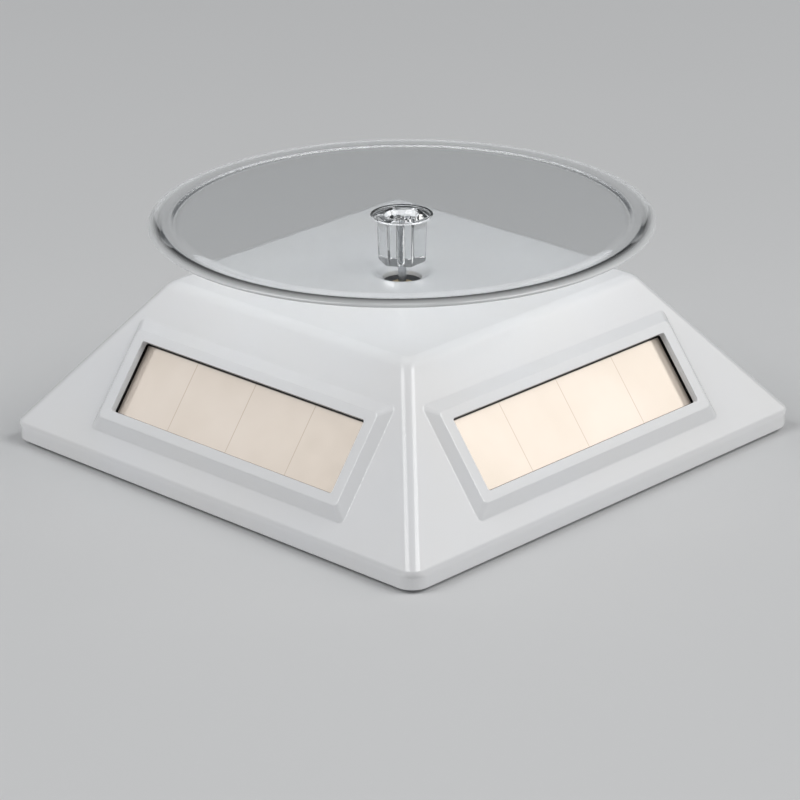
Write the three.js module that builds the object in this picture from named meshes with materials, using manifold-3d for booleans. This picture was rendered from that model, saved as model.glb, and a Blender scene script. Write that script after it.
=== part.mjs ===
// Turntable display stand: a solar and battery driven stand with a clear round plate.
// Millimetres, +Z up. The origin is the middle of the square base, on the surface it stands on.
// The four sides are named as seen from above: front -Y, right +X, back +Y, left -X.
import * as THREE from 'three';
import { mergeVertices } from 'three/addons/utils/BufferGeometryUtils.js';
import Module from 'manifold-3d';

const wasm = await Module();
wasm.setup();

// ---- Driving dimensions ----------------------------------------------------------------

const GAP = 0.3;                    // clearance between pieces that rest on each other
const SIDES = ['front', 'right', 'back', 'left'];

const SHELL = {
  half: 55,                         // half the side of the square base
  bottom: 0.8,                      // the lower edge: the feet stand it off the table
  skirtTop: 4,                      // where the upright skirt would meet the face, unrounded
  deckHalf: 32.6,                   // half the side of the flat top, unrounded
  deck: 33.4,                       // the flat top
  wall: 2,
  skirtCorner: 3.8,                 // plan radius of the skirt's corners
  ridgeCorner: 2,                   // plan radius of the ridges between faces
  skirtRound: 2.5,                  // rounding between skirt and face
  deckRound: 3.2,                   // rounding between face and flat top
  holeRadius: 3.8,
  dishRadius: 5.65,                 // the dished lip round the centre hole
  dishDepth: 1.1,
};

const WINDOW = {                    // on a face: u across, v up the slope, n outwards
  v: 16.4,                          // the middle of the window, up the slope
  frame: [69, 23.8],                // foot of the raised frame
  frameTop: [65.2, 18.9],           // its flat top, inside the bevel
  rise: 1.5,
  opening: [60.4, 14.9],
  corner: 1,
  pocket: 0.1,                      // n of the floor of the pocket that the cell sits in, from behind
};

const CELL = { size: [64.2, 18.3], thick: 1.1, front: -0.6 };

const PLATE = {
  top: 46.3,
  flatRadius: 47.4,
  radius: 49.5,
  lipZ: 45.4,                       // where the rounded rim is widest
  thick: 1.5,
  beadZ: 44.45,                     // the bead under the rim
  bead: [45.4, 46.4],               // its flat, from the inner to the outer radius
  beadRoot: 43.9,                   // where the bead runs out into the plate
  boreRadius: 5.5,
  seatRadius: 6.05,                 // counterbore for the hub's flange
  seatDepth: 0.9,
};

const HUB = {
  flangeRadius: 5.75,
  flange: 0.6,
  topCorner: 5.2,                   // six-sided post: radius over the corners, at the top
  bottomCorner: 4.8,
  bottom: 35.7,
  turn: 34,                         // degrees, how the six-sided post stands at rest
  dishRadius: 3.4,                  // the shallow recess in the top
  dishDepth: 1,
  bore: 0.86,
  boreTop: 44,
};

const SHAFT = { radius: 0.8, bottom: 15.2, top: 43.7 };

const MOTOR = {
  radius: 18,
  wall: 1.2,
  bottom: 12.4,
  split: 27.6,                      // the open top of the case
  coverBottom: 27.9,
  coverTop: 29.4,
  earRing: 20.8,
  earRadius: 3.4,
  earAngles: [30, 150, 270],
};

const FIELD = { yoke: 15.9, yokeThick: 0.8, inner: 5, upperInner: 8.5, outer: 15.5, magnet: 3.2 };
const ROTOR = { disc: 15.4, discZ: 19.6, discThick: 1 };
const COIL = { ring: 9.4, radius: 5.6, hole: 2.2, thick: 2.4 };   // ring: how far out a coil's middle is
const COMMUTATOR = { radius: 2.1, bottom: 21.3, top: 25.4, slot: 0.4 };
const BRUSH = { bottom: 23.8, top: 25, holderTop: 27.6, reach: [-3.6, 5] };
const BUSH = { radius: 2.4, bore: 0.86, length: 3 };

const BASE = {
  half: 52.6,
  corner: 3.4,
  bottom: 1,
  top: 3,
  ribHalf: 51.2,                    // the rib that locates the cover inside the shell
  ribWide: 1.2,
  ribTop: 4.6,
  ribGap: 7,                        // the rib stops this far either side of a corner screw
};

const CORNER_SCREW = { at: 45, shank: 1.2, head: 2.5, length: 7 };
const CORNER_BOSS = { radius: 3.4, top: 17, pilotTop: 10.8, seat: 4.4, seatTop: 4.6, shelf: 3.2 };
const MOTOR_SCREW = { shank: 0.95, head: 1.9, length: 4.2 };
const MOTOR_BOSS = { radius: 2.9, pilotTop: 32.3 };
const FOOT = { x: 45, y: 33, radius: 5, height: 1.6, recess: 0.9 };

const BATTERY = { y: 28.5, z: 10.3, radius: 7.1, from: -25.2, to: 23.8, nub: 1.3, nubRadius: 2.7 };
const TRAY = { inner: 7.6, wall: 1.2, from: -31, to: 26.4 };
const DOOR = { from: -33, to: 29, halfWidth: 9.2, thick: 1.5, run: 8, padTop: 4.4 };
const TONGUE = { wide: 1, thick: 0.6, inset: 4 };   // slides in a groove along each edge of the door

const SWITCH = { x: 0, y: -33, travel: 2, pocket: [13, 7], pocketTop: 3.7, deckTop: 5.2, slot: [5.4, 2.6] };
const BOARD = { x: 24, y: -27, size: [22, 14], bottom: 5.4, thick: 1.2, peg: 1.1 };
const LEAD = { radius: 0.7, sides: 8, step: 4.2 };

// The look of each kind of material.
const LOOKS = {
  white_plastic: { color: 0xe6e7ea, roughness: 0.18, metalness: 0 },
  clear_plastic: { color: 0xdfe6ea, roughness: 0.05, metalness: 0 },
  solar_glass: { color: 0xd9cfc0, roughness: 0.08, metalness: 0 },
  rubber: { color: 0x2a2a2b, roughness: 0.8, metalness: 0 },
  steel: { color: 0xb9bcc0, roughness: 0.3, metalness: 1 },
  plated: { color: 0xcfd2d6, roughness: 0.2, metalness: 1 },
  brass: { color: 0xc9a453, roughness: 0.3, metalness: 1 },
  copper: { color: 0xb4683a, roughness: 0.35, metalness: 1 },
  ferrite: { color: 0x34353a, roughness: 0.7, metalness: 0 },
  black_plastic: { color: 0x1d1e20, roughness: 0.45, metalness: 0 },
  board: { color: 0x2f6b45, roughness: 0.5, metalness: 0 },
  battery: { color: 0x3a4654, roughness: 0.3, metalness: 0.4 },
  lead: { color: 0xb02a22, roughness: 0.5, metalness: 0 },
};

// ---- Solids ----------------------------------------------------------------------------

// Triangles of a closed mesh, without the flat ones that a lathe leaves on its axis.
function wholeTriangles(geometry) {
  const index = geometry.index.array;
  const kept = [];
  for (let i = 0; i < index.length; i += 3) {
    const [a, b, c] = [index[i], index[i + 1], index[i + 2]];
    if (a !== b && b !== c && c !== a) kept.push(a, b, c);
  }
  return kept;
}

function signedVolume(position, triangles) {
  const [a, b, c] = [new THREE.Vector3(), new THREE.Vector3(), new THREE.Vector3()];
  let six = 0;
  for (let i = 0; i < triangles.length; i += 3) {
    a.fromBufferAttribute(position, triangles[i]);
    b.fromBufferAttribute(position, triangles[i + 1]);
    c.fromBufferAttribute(position, triangles[i + 2]);
    six += a.dot(b.cross(c));
  }
  return six / 6;
}

// A closed three.js geometry as a solid whose faces point out.
function solid(geometry) {
  const bare = geometry.clone();
  bare.deleteAttribute('normal');
  bare.deleteAttribute('uv');
  const merged = mergeVertices(bare, 1e-4);
  const triangles = wholeTriangles(merged);
  if (signedVolume(merged.attributes.position, triangles) < 0) triangles.reverse();
  return new wasm.Manifold(new wasm.Mesh({
    numProp: 3,
    vertProperties: new Float32Array(merged.attributes.position.array),
    triVerts: new Uint32Array(triangles),
  }));
}

function geometryOf(manifold) {
  const mesh = manifold.getMesh();
  const geometry = new THREE.BufferGeometry();
  geometry.setAttribute('position', new THREE.BufferAttribute(mesh.vertProperties, 3));
  geometry.setIndex(new THREE.BufferAttribute(mesh.triVerts, 1));
  geometry.computeVertexNormals();
  return geometry;
}

function joined(first, ...rest) {
  return rest.reduce((sum, next) => sum.add(next), first);
}

function cut(body, ...tools) {
  return tools.reduce((rest, tool) => rest.subtract(tool), body);
}

// ---- Shapes ----------------------------------------------------------------------------

function block([x0, x1], [y0, y1], [z0, z1]) {
  const box = new THREE.BoxGeometry(x1 - x0, y1 - y0, z1 - z0);
  return solid(box.translate((x0 + x1) / 2, (y0 + y1) / 2, (z0 + z1) / 2));
}

// An upright round bar from z0 to z1, or a cone when its top radius is given; turn is in degrees.
function bar(radius, [z0, z1], { x = 0, y = 0, topRadius = radius, segments = 24, turn = 0 } = {}) {
  const round = new THREE.CylinderGeometry(topRadius, radius, z1 - z0, segments);
  round.rotateX(Math.PI / 2).rotateZ(THREE.MathUtils.degToRad(turn));
  return solid(round.translate(x, y, (z0 + z1) / 2));
}

// A turned piece: the profile is a list of [radius, z] points.
function turned(profile, segments = 32) {
  const points = profile.map(([radius, z]) => new THREE.Vector2(radius, z));
  return solid(new THREE.LatheGeometry(points, segments).rotateX(Math.PI / 2));
}

function ring(inner, outer, [z0, z1], { x = 0, y = 0, segments = 32 } = {}) {
  const hole = bar(inner, [z0 - 1, z1 + 1], { x, y, segments });
  return cut(bar(outer, [z0, z1], { x, y, segments }), hole);
}

// The outline of a rounded rectangle, as points at one height.
function roundedLoop([width, height], radius, z, [cx, cy] = [0, 0], steps = 5) {
  const points = [];
  for (let corner = 0; corner < 4; corner += 1) {
    const sx = corner === 0 || corner === 3 ? 1 : -1;
    const sy = corner < 2 ? 1 : -1;
    for (let i = 0; i <= steps; i += 1) {
      const angle = (corner + i / steps) * Math.PI / 2;
      points.push(new THREE.Vector3(
        cx + sx * (width / 2 - radius) + radius * Math.cos(angle),
        cy + sy * (height / 2 - radius) + radius * Math.sin(angle),
        z,
      ));
    }
  }
  return points;
}

// A skin through loops of equal length, closed with a flat fan at each end.
function loft(loops) {
  const count = loops[0].length;
  const index = [];
  for (let row = 0; row < loops.length - 1; row += 1) {
    for (let i = 0; i < count; i += 1) {
      const [a, b] = [row * count + i, row * count + (i + 1) % count];
      index.push(a, b, b + count, a, b + count, a + count);
    }
  }
  const last = (loops.length - 1) * count;
  for (let i = 1; i < count - 1; i += 1) {
    index.push(0, i + 1, i, last, last + i, last + i + 1);
  }
  const geometry = new THREE.BufferGeometry().setFromPoints(loops.flat());
  geometry.setIndex(index);
  return geometry;
}

function roundedBlock(size, radius, [z0, z1], centre = [0, 0], steps = 6) {
  return solid(loft([z0, z1].map((z) => roundedLoop(size, radius, z, centre, steps))));
}

// ---- The sloping faces -----------------------------------------------------------------

const RUN = SHELL.half - SHELL.deckHalf;
const RISE = SHELL.deck - SHELL.skirtTop;
const SLOPE = Math.atan2(RISE, RUN);

// From a face's own frame (u across, v up the slope, n outwards) to the stand's frame.
function faceMatrix(side) {
  const across = new THREE.Vector3(1, 0, 0);
  const up = new THREE.Vector3(0, Math.cos(SLOPE), Math.sin(SLOPE));
  const out = new THREE.Vector3().crossVectors(across, up);
  const frame = new THREE.Matrix4().makeBasis(across, up, out);
  frame.setPosition(0, -SHELL.half, SHELL.skirtTop);
  return frame.premultiply(new THREE.Matrix4().makeRotationZ(side * Math.PI / 2));
}

function onFace(geometry, side) {
  return solid(geometry.clone().applyMatrix4(faceMatrix(side)));
}

function facePoint(side, u, v, n) {
  return new THREE.Vector3(u, v, n).applyMatrix4(faceMatrix(side));
}

function faceBlock([width, height], radius, [n0, n1]) {
  return loft([n0, n1].map((n) => roundedLoop([width, height], radius, n, [0, WINDOW.v], 1)));
}

// ---- Shell -----------------------------------------------------------------------------

// Half width, height and plan corner radius, following the outside from the skirt to the top.
function outerProfile() {
  const { half, bottom, skirtTop, deckHalf, deck, skirtRound, deckRound } = SHELL;
  const turn = Math.PI / 2 - SLOPE;
  const rows = [[half, bottom, SHELL.skirtCorner]];
  const low = skirtTop - skirtRound * Math.tan(turn / 2);
  const steps = 3;
  for (let i = 0; i <= steps; i += 1) {
    const angle = turn * i / steps;
    const corner = THREE.MathUtils.lerp(SHELL.skirtCorner, SHELL.ridgeCorner, i / steps);
    rows.push([half - skirtRound * (1 - Math.cos(angle)), low + skirtRound * Math.sin(angle), corner]);
  }
  const inset = deckHalf - deckRound * Math.tan(SLOPE / 2);
  for (let i = steps; i >= 0; i -= 1) {
    const angle = SLOPE * i / steps;
    const z = deck - deckRound * (1 - Math.cos(angle));
    rows.push([inset + deckRound * Math.sin(angle), z, SHELL.ridgeCorner]);
  }
  return rows;
}

function shellOutside() {
  return solid(loft(outerProfile().map(([half, z, radius]) => roundedLoop([2 * half, 2 * half], radius, z))));
}

function shellCavity() {
  const level = SHELL.half - SHELL.wall;
  const slopedWall = SHELL.wall / Math.sin(SLOPE);
  const ceiling = SHELL.deck - SHELL.wall;
  const halfAt = (z) => SHELL.half - slopedWall - (z - SHELL.skirtTop) * RUN / RISE;
  const bend = SHELL.skirtTop - (level - SHELL.half + slopedWall) * RISE / RUN;
  const rows = [[level, SHELL.bottom - 1], [level, bend], [halfAt(ceiling), ceiling]];
  return solid(loft(rows.map(([half, z]) => roundedLoop([2 * half, 2 * half], 1.5, z, [0, 0], 1))));
}

function windowFrame(side) {
  const loops = [[WINDOW.frame, -1], [WINDOW.frame, 0], [WINDOW.frameTop, WINDOW.rise]]
    .map(([size, n]) => roundedLoop(size, WINDOW.corner, n, [0, WINDOW.v], 2));
  return onFace(loft(loops), side);
}

function windowOpening(side) {
  return onFace(faceBlock(WINDOW.opening, WINDOW.corner / 2, [-2 * SHELL.wall, 2 * WINDOW.rise]), side);
}

function cellPocket(side) {
  const room = CELL.size.map((size) => size + 2 * GAP);
  return onFace(faceBlock(room, 0.5, [-3 * SHELL.wall, WINDOW.pocket]), side);
}

// The four places at +-x, +-y, counter-clockwise from the back right.
function cornerPlaces(x, y = x) {
  return [[1, 1], [-1, 1], [-1, -1], [1, -1]].map(([sx, sy]) => ({ x: sx * x, y: sy * y }));
}

function screwBosses(outside) {
  const { radius, seatTop, top } = CORNER_BOSS;
  return cornerPlaces(CORNER_SCREW.at)
    .map((place) => bar(radius, [seatTop + GAP, top], { ...place, segments: 14 }).intersect(outside));
}

function motorMounts() {
  return MOTOR.earAngles.map((degrees) => {
    const angle = THREE.MathUtils.degToRad(degrees);
    return { x: MOTOR.earRing * Math.cos(angle), y: MOTOR.earRing * Math.sin(angle) };
  });
}

function pilotHoles(places, { shank }, range, segments = 10) {
  return places.map((place) => bar(shank + GAP, range, { ...place, segments }));
}

function shell() {
  const outside = joined(shellOutside(), ...SIDES.map((_, side) => windowFrame(side)));
  const bossRange = [MOTOR.coverTop + GAP, SHELL.deck - SHELL.wall / 2];
  const motorBosses = motorMounts()
    .map((place) => bar(MOTOR_BOSS.radius, bossRange, { ...place, segments: 14 }));
  const body = joined(cut(outside, shellCavity()), ...screwBosses(outside), ...motorBosses);
  const dishBottom = SHELL.deck - SHELL.dishDepth;
  const dish = bar(SHELL.holeRadius, [dishBottom, SHELL.deck + 0.01], { topRadius: SHELL.dishRadius });
  const hole = bar(SHELL.holeRadius, [SHELL.deck - 2 * SHELL.wall, SHELL.deck]);
  const pilots = [
    ...pilotHoles(cornerPlaces(CORNER_SCREW.at), CORNER_SCREW, [BASE.top, CORNER_BOSS.pilotTop]),
    ...pilotHoles(motorMounts(), MOTOR_SCREW, [MOTOR.coverTop, MOTOR_BOSS.pilotTop]),
  ];
  const windows = SIDES.flatMap((_, side) => [windowOpening(side), cellPocket(side)]);
  return cut(body, ...windows, hole, dish, ...pilots);
}

function solarCell(side) {
  return onFace(faceBlock(CELL.size, 0.3, [CELL.front - CELL.thick, CELL.front]), side);
}

// ---- Clear plate and its hub -----------------------------------------------------------

function displayPlate() {
  const { top, flatRadius, radius, lipZ, thick, bead, beadZ, beadRoot } = PLATE;
  const { boreRadius, seatRadius, seatDepth } = PLATE;
  const under = top - thick;
  const profile = [[boreRadius, under], [boreRadius, top - seatDepth], [seatRadius, top - seatDepth]];
  profile.push([seatRadius, top]);
  const steps = 4;
  for (let i = 0; i <= steps; i += 1) {
    const angle = Math.PI / 2 * (1 - i / steps);
    profile.push([
      flatRadius + (radius - flatRadius) * Math.cos(angle),
      lipZ + (top - lipZ) * Math.sin(angle),
    ]);
  }
  profile.push([radius - 0.3, lipZ - 0.3], [bead[1], beadZ], [bead[0], beadZ]);
  profile.push([beadRoot, under], [boreRadius, under]);
  return turned(profile, 56);
}

function hubSocket() {
  const flange = bar(HUB.flangeRadius, [PLATE.top - HUB.flange, PLATE.top]);
  const post = bar(HUB.bottomCorner, [HUB.bottom, PLATE.top - HUB.flange / 2], {
    topRadius: HUB.topCorner,
    segments: 6,
    turn: HUB.turn,
  });
  const dish = bar(HUB.dishRadius - 0.3, [PLATE.top - HUB.dishDepth, PLATE.top + 0.01], {
    topRadius: HUB.dishRadius,
  });
  const bore = bar(HUB.bore, [HUB.bottom - 1, HUB.boreTop], { segments: 24 });
  return cut(joined(flange, post), dish, bore);
}

// ---- Motor -----------------------------------------------------------------------------

function motorShaft() {
  const { radius, bottom, top } = SHAFT;
  const point = 0.6;
  return turned([[0, bottom], [0.15, bottom], [radius, bottom + point], [radius, top - 0.3],
    [radius - 0.3, top], [0, top]], 16);
}

function bush(bottom, blind) {
  const { radius, bore, length } = BUSH;
  const floor = blind ? bottom + 1 : bottom - 1;
  const hole = bar(bore, [floor, bottom + length + 1], { segments: 16 });
  return cut(bar(radius, [bottom, bottom + length]), hole);
}

function motorCase() {
  const { radius, wall, bottom, split } = MOTOR;
  const cup = turned([[0, bottom], [radius - 0.8, bottom], [radius, bottom + 0.8], [radius, split],
    [radius - wall, split], [radius - wall, bottom + wall], [0, bottom + wall]]);
  const seat = ring(BUSH.radius + GAP, BUSH.radius + 1.6, [bottom + wall / 2, bottom + 3]);
  const leadSlot = block([radius - 3, radius + 1], [-1.5, 1.5], [split - 3, split + 1]);
  return cut(joined(cup, seat), leadSlot);
}

function motorCover() {
  const { radius, coverBottom, coverTop, earRadius, earRing, earAngles } = MOTOR;
  const ears = motorMounts().flatMap((place, i) => {
    const arm = new THREE.BoxGeometry(radius, 2 * earRadius, coverTop - coverBottom);
    arm.translate(earRing - radius / 2, 0, (coverTop + coverBottom) / 2);
    arm.rotateZ(THREE.MathUtils.degToRad(earAngles[i]));
    return [bar(earRadius, [coverBottom, coverTop], { ...place, segments: 16 }), solid(arm)];
  });
  const collar = bar(BUSH.radius + 1.6, [coverTop - 1, coverTop + 1.4]);
  const holes = pilotHoles(motorMounts(), MOTOR_SCREW, [coverBottom - 1, coverTop + 1], 12);
  const bushHole = bar(BUSH.radius + GAP, [coverBottom - 1, coverTop + 2], { segments: 20 });
  const disc = bar(radius, [coverBottom, coverTop], { segments: 32 });
  return cut(joined(disc, ...ears, collar), ...holes, bushHole);
}

const YOKE_Z = MOTOR.bottom + MOTOR.wall + GAP;
const MAGNET_Z = YOKE_Z + FIELD.yokeThick + GAP;

function lowerYoke() {
  return ring(FIELD.inner, FIELD.yoke, [YOKE_Z, YOKE_Z + FIELD.yokeThick]);
}

function magnetRing() {
  return ring(FIELD.inner, FIELD.outer, [MAGNET_Z, MAGNET_Z + FIELD.magnet]);
}

// The upper steel plate hangs under the cover and closes the magnet's field over the coils.
function upperYoke() {
  const top = MOTOR.coverBottom - GAP;
  return ring(FIELD.upperInner, FIELD.yoke, [top - FIELD.yokeThick, top]);
}

function rotorDisc() {
  const { disc, discZ, discThick } = ROTOR;
  const sleeve = bar(2.1, [discZ - 0.6, discZ + discThick + 0.4], { segments: 16 });
  const body = joined(bar(disc, [discZ, discZ + discThick], { segments: 32 }), sleeve);
  return cut(body, bar(SHAFT.radius + 0.06, [discZ - 2, discZ + 4], { segments: 16 }));
}

function rotorCoil(number) {
  const angle = number * Math.PI * 2 / 3;
  const bottom = ROTOR.discZ + ROTOR.discThick + GAP;
  return ring(COIL.hole, COIL.radius, [bottom, bottom + COIL.thick], {
    x: COIL.ring * Math.cos(angle), y: COIL.ring * Math.sin(angle), segments: 20,
  });
}

function commutator() {
  const { radius, bottom, top, slot } = COMMUTATOR;
  const body = ring(SHAFT.radius + 0.06, radius, [bottom, top], { segments: 16 });
  const slots = [0, 1, 2].map((number) => {
    const tool = new THREE.BoxGeometry(1, slot, top - bottom - 1);
    tool.translate(radius + 0.1, 0, (top + bottom) / 2 + 1).rotateZ((number + 0.5) * Math.PI * 2 / 3);
    return solid(tool);
  });
  return cut(body, ...slots);
}

// A moulded bar under the cover that carries the far ends of both brushes.
function brushHolder() {
  const [, back] = BRUSH.reach;
  return block([-4.8, 4.8], [back - 1.8, back + 0.6], [BRUSH.top + GAP, BRUSH.holderTop]);
}

// A leaf of springy bronze beside the commutator; side is -1 for the left one, 1 for the right.
function brush(side) {
  const x = side * (COMMUTATOR.radius + GAP + 0.1);
  return block([x - 0.1, x + 0.1], BRUSH.reach, [BRUSH.bottom, BRUSH.top]);
}

function screwHeadHeight(head) {
  return 0.55 * head;
}

// A pan-head self-tapping screw, head down from z 0, with a cross recess in its head.
function panScrew({ head, shank, length }) {
  const headHeight = screwHeadHeight(head);
  const body = turned([[0, 0], [head * 0.8, 0], [head, headHeight * 0.5], [head, headHeight],
    [shank, headHeight], [shank, headHeight + length - shank], [0, headHeight + length]], 12);
  const arm = head * 1.1;
  const cross = [[arm, 0.5], [0.5, arm]].map(([width, depth]) => block(
    [-width / 2, width / 2], [-depth / 2, depth / 2], [-1, headHeight * 0.6]));
  return cut(body, ...cross);
}

// ---- Bottom cover ----------------------------------------------------------------------

const DOOR_Y = [BATTERY.y - DOOR.halfWidth, BATTERY.y + DOOR.halfWidth];
const DOOR_Z = [BASE.bottom + 0.1, BASE.bottom + 0.1 + DOOR.thick];
const TONGUE_Z = [DOOR_Z[1] - TONGUE.thick, DOOR_Z[1]];

// A bar of the tray's round-topped section along X: an upright slot with a half-round end.
function traySection(radius, [x0, x1], floor) {
  const shape = new THREE.Shape();
  shape.moveTo(-radius, floor - BATTERY.z);
  shape.lineTo(radius, floor - BATTERY.z);
  shape.lineTo(radius, 0);
  shape.absarc(0, 0, radius, 0, Math.PI, false);
  shape.closePath();
  const length = new THREE.ExtrudeGeometry(shape, { depth: x1 - x0, bevelEnabled: false, curveSegments: 10 });
  length.rotateX(Math.PI / 2).rotateZ(Math.PI / 2);
  return solid(length.translate(x0, BATTERY.y, BATTERY.z));
}

function basePlate() {
  const { half, corner, bottom, top, ribHalf, ribWide, ribTop, ribGap } = BASE;
  const plate = roundedBlock([2 * half, 2 * half], corner, [bottom, top]);
  const rib = cut(
    roundedBlock([2 * ribHalf, 2 * ribHalf], corner - 1, [top - 1, ribTop]),
    roundedBlock([2 * (ribHalf - ribWide), 2 * (ribHalf - ribWide)], corner - 2, [top - 2, ribTop + 1]),
    ...cornerPlaces(CORNER_SCREW.at)
      .map(({ x, y }) => block([x - ribGap, x + ribGap], [y - ribGap, y + ribGap], [top, ribTop + 1])),
  );
  const rail = TONGUE.wide + 1.6;
  const doorPad = block(
    [DOOR.from - 2, DOOR.to + DOOR.run + 2], [DOOR_Y[0] - rail, DOOR_Y[1] + rail], [top - 1, DOOR.padTop]);
  const tray = traySection(TRAY.inner + TRAY.wall, [TRAY.from - TRAY.wall, TRAY.to + TRAY.wall], top - 1);
  const switchPad = block(
    [SWITCH.x - SWITCH.pocket[0] / 2 - 1.5, SWITCH.x + SWITCH.pocket[0] / 2 + 1.5],
    [SWITCH.y - SWITCH.pocket[1] / 2 - 1.5, SWITCH.y + SWITCH.pocket[1] / 2 + 1.5],
    [top - 1, SWITCH.deckTop]);
  const screwSeats = cornerPlaces(CORNER_SCREW.at)
    .map((place) => bar(CORNER_BOSS.seat, [top - 1, CORNER_BOSS.seatTop], { ...place, segments: 16 }));
  const added = [rib, doorPad, tray, switchPad, ...screwSeats, ...footSeats(), ...boardPegs()];
  return cut(joined(plate, ...added), ...baseHoles());
}

function footSeats() {
  return cornerPlaces(FOOT.x, FOOT.y)
    .map((place) => bar(FOOT.radius + 1.4, [BASE.top - 1, BASE.top + 0.8], place));
}

function boardPegs() {
  return [-1, 1].flatMap((side) => {
    const place = { x: BOARD.x + side * (BOARD.size[0] / 2 - 2.2), y: BOARD.y };
    return [
      bar(BOARD.peg + 1, [BASE.top - 1, BOARD.bottom - GAP], { ...place, segments: 12 }),
      bar(BOARD.peg, [BASE.top - 1, BOARD.bottom + BOARD.thick + 1], { ...place, segments: 12 }),
    ];
  });
}

function baseHoles() {
  const door = block(
    [DOOR.from - GAP, DOOR.to + DOOR.run + GAP], [DOOR_Y[0] - GAP, DOOR_Y[1] + GAP],
    [BASE.bottom - 1, DOOR_Z[1] + GAP]);
  const grooves = block(
    [DOOR.from - GAP, DOOR.to + DOOR.run + GAP],
    [DOOR_Y[0] - TONGUE.wide - GAP, DOOR_Y[1] + TONGUE.wide + GAP],
    [TONGUE_Z[0] - 0.2, DOOR_Z[1] + GAP]);
  const bay = traySection(TRAY.inner, [TRAY.from, TRAY.to], BASE.bottom);
  const pocket = roundedBlock(SWITCH.pocket, 1, [BASE.bottom - 1, SWITCH.pocketTop], [SWITCH.x, SWITCH.y], 4);
  const slot = roundedBlock(SWITCH.slot, 0.5, [BASE.bottom, SWITCH.deckTop + 1], [SWITCH.x, SWITCH.y], 4);
  const feet = cornerPlaces(FOOT.x, FOOT.y)
    .map((place) => bar(FOOT.radius + GAP, [BASE.bottom - 1, BASE.bottom + FOOT.recess], place));
  const screws = cornerPlaces(CORNER_SCREW.at).flatMap((place) => [
    bar(CORNER_SCREW.shank + GAP, [BASE.bottom, CORNER_BOSS.seatTop + 1], { ...place, segments: 12 }),
    bar(CORNER_SCREW.head + GAP, [BASE.bottom - 1, CORNER_BOSS.shelf], { ...place, segments: 16 }),
  ]);
  return [door, grooves, bay, pocket, slot, ...feet, ...screws];
}

function batteryDoor() {
  const plate = block([DOOR.from, DOOR.to], DOOR_Y, DOOR_Z);
  const tongues = [[DOOR_Y[0] - TONGUE.wide, DOOR_Y[0] + 1], [DOOR_Y[1] - 1, DOOR_Y[1] + TONGUE.wide]]
    .map((widths) => block([DOOR.from + TONGUE.inset, DOOR.to - TONGUE.inset], widths, TONGUE_Z));
  const grips = [0, 1, 2, 3, 4].map((row) => {
    const x = DOOR.to - 6 - row * 1.8;
    return block([x - 0.4, x + 0.4], [BATTERY.y - 5, BATTERY.y + 5], [DOOR_Z[0] - 1, DOOR_Z[0] + 0.4]);
  });
  return cut(joined(plate, ...tongues), ...grips);
}

function foot() {
  const { radius, height } = FOOT;
  return turned([[0, 0], [radius - 0.5, 0], [radius, 0.5], [radius, height], [0, height]], 24);
}

// ---- Battery ---------------------------------------------------------------------------

// The battery and its spring are built upright from z 0, and laid along +X when they are placed.
function battery() {
  const { from, to, radius, nub, nubRadius } = BATTERY;
  const length = to - from;
  return turned([[0, 0], [radius - 0.6, 0], [radius, 0.6], [radius, length - 0.6], [radius - 0.6, length],
    [nubRadius, length], [nubRadius, length + nub - 0.3], [nubRadius - 0.3, length + nub],
    [0, length + nub]], 24);
}

// A thin contact at one end of the tray; the one that meets the battery's nub has a raised pip.
function contactPlate(x, pip) {
  const { y, z } = BATTERY;
  const half = CONTACT.thick / 2;
  const plate = block([x - half, x + half], [y - 5.2, y + 5.2], [z - 5.8, z + 4.6]);
  const tab = block([x - half, x + half], [y - 1.2, y + 1.2], [z + 4, z + 6.6]);
  return joined(plate, tab, block([x - half - pip, x], [y - 1.4, y + 1.4], [z - 1.4, z + 1.4]));
}

class CoilCurve extends THREE.Curve {
  constructor(turns, radii, pitch) {
    super();
    Object.assign(this, { turns, radii, pitch });
  }

  getPoint(t) {
    const angle = t * this.turns * Math.PI * 2;
    const radius = THREE.MathUtils.lerp(this.radii[0], this.radii[1], t);
    return new THREE.Vector3(radius * Math.cos(angle), radius * Math.sin(angle), t * this.turns * this.pitch);
  }
}

function swept(curve, radius, sides, steps) {
  const section = new THREE.Shape();
  for (let i = 0; i < sides; i += 1) {
    const angle = i / sides * Math.PI * 2;
    section[i === 0 ? 'moveTo' : 'lineTo'](radius * Math.cos(angle), radius * Math.sin(angle));
  }
  section.closePath();
  return solid(new THREE.ExtrudeGeometry(section, { steps, extrudePath: curve, bevelEnabled: false }));
}

const CONTACT = { thick: 0.4, pip: 0.3 };
const MINUS_X = TRAY.from + GAP + CONTACT.thick / 2;
const PLUS_X = TRAY.to - GAP - CONTACT.thick / 2;
const SPRING = { wire: 0.3, turns: 3, radii: [4.6, 2.6] };
const SPRING_X = MINUS_X + CONTACT.thick / 2 + GAP + SPRING.wire;

function batterySpring() {
  const { wire, turns, radii } = SPRING;
  const pitch = (BATTERY.from - GAP - wire - SPRING_X) / turns;
  return swept(new CoilCurve(turns, radii, pitch), wire, 6, 10 * turns);
}

// ---- Slide switch ----------------------------------------------------------------------

const SWITCH_BOTTOM = SWITCH.deckTop + GAP;

function switchHousing() {
  const { x, y } = SWITCH;
  const [z0, z1] = [SWITCH_BOTTOM, SWITCH_BOTTOM + 4.2];
  const can = block([x - 4.4, x + 4.4], [y - 2.2, y + 2.2], [z0, z1]);
  const room = block([x - 4, x + 4], [y - 1.8, y + 1.8], [z0 + 0.4, z1 + 1]);
  const slot = block([x - 2.4, x + 2.4], [y - 1.1, y + 1.1], [z0 - 1, z0 + 1]);
  return cut(can, room, slot);
}

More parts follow.
